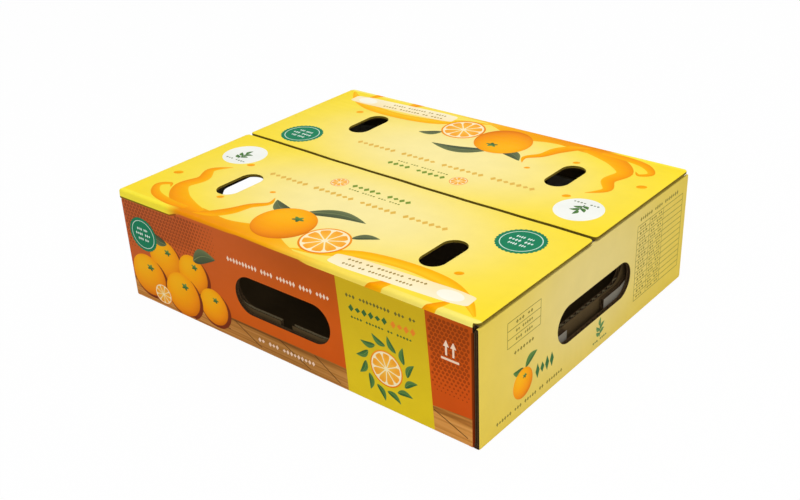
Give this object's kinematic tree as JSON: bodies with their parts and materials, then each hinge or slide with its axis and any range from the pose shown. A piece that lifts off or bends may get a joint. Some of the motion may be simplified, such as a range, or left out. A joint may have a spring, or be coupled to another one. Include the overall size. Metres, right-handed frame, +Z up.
{
  "type": "cardboard tray box",
  "caption": "Shallow corrugated fruit carton with rolled locking ends, hand holes in every side and vented lid flaps that meet over the middle.",
  "frame": {"origin": "on the underside, below the middle of the closed carton", "axes": "+X along the long sides, to the right as the front is seen; +Y from the front to the rear; +Z up"},
  "size_m": [0.38, 0.305, 0.104],
  "materials": {
    "tray_board": "corrugated board, printed outside with a thin gloss varnish, plain brown inside",
    "flap_board": "corrugated board, printed outside with a thin gloss varnish, plain brown inside"
  },
  "bodies": {
    "tray": {"tray": "tray_board"},
    "front_flap": {"front_flap": "flap_board"},
    "rear_flap": {"rear_flap": "flap_board"}
  },
  "joints": [
    {"name": "front_flap_hinge", "type": "hinge", "parent": "tray", "child": "front_flap", "pos_m": [0, -0.1525, 0.104], "axis": [1, 0, 0], "range_deg": [0, 220]},
    {"name": "rear_flap_hinge", "type": "hinge", "parent": "tray", "child": "rear_flap", "pos_m": [0, 0.1525, 0.104], "axis": [-1, 0, 0], "range_deg": [0, 220]}
  ]
}
